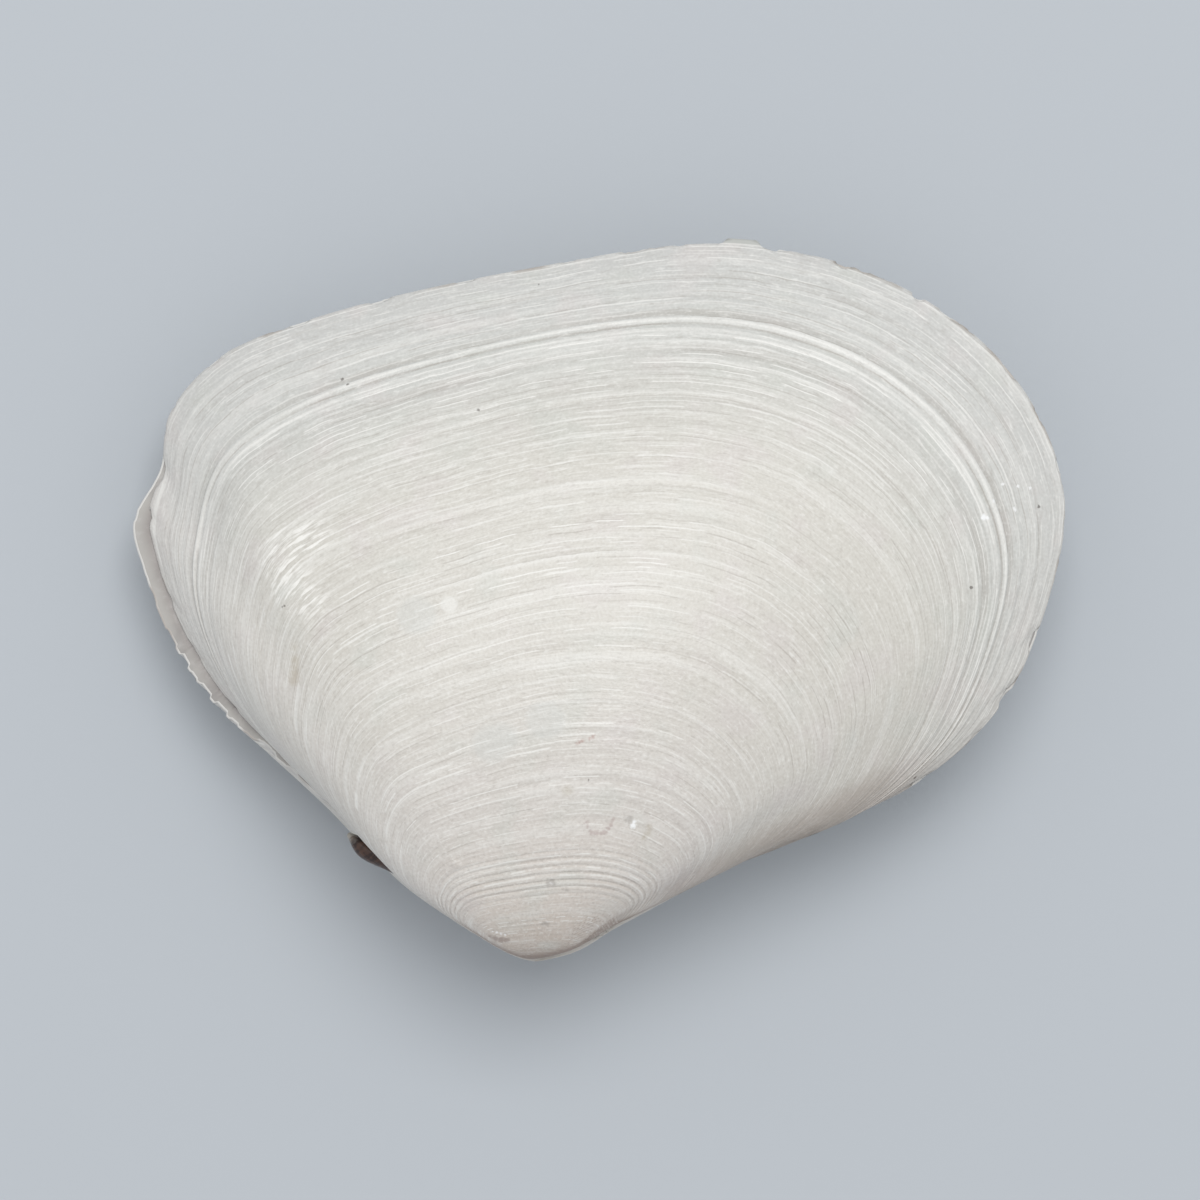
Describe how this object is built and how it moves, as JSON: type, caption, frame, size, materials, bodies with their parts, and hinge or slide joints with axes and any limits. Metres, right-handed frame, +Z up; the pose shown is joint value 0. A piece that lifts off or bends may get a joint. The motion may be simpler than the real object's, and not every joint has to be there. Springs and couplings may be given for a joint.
{
  "type": "marine bivalve shell",
  "caption": "Closed off-white marine clam: thin valves with fine concentric growth lines, a blunt folded rear end and a dark ligament behind the beaks, lying on its right valve.",
  "frame": {"origin": "on the surface that the shell lies on, under the middle of its outline seen from above", "axes": "+X towards the animal's front end, +Y from the beaks towards the belly margin, +Z up, from the right valve to the left one"},
  "size_m": [0.0602, 0.0462, 0.0195],
  "materials": {
    "shell": "chalky off-white with a satin gloss, fine concentric growth lines, warmer at the beak",
    "ligament": "dark red-brown horn, finely fibrous, with a pale tip"
  },
  "bodies": {
    "root": {"left_valve": "shell", "right_valve": "shell", "ligament": "ligament"}
  },
  "joints": []
}
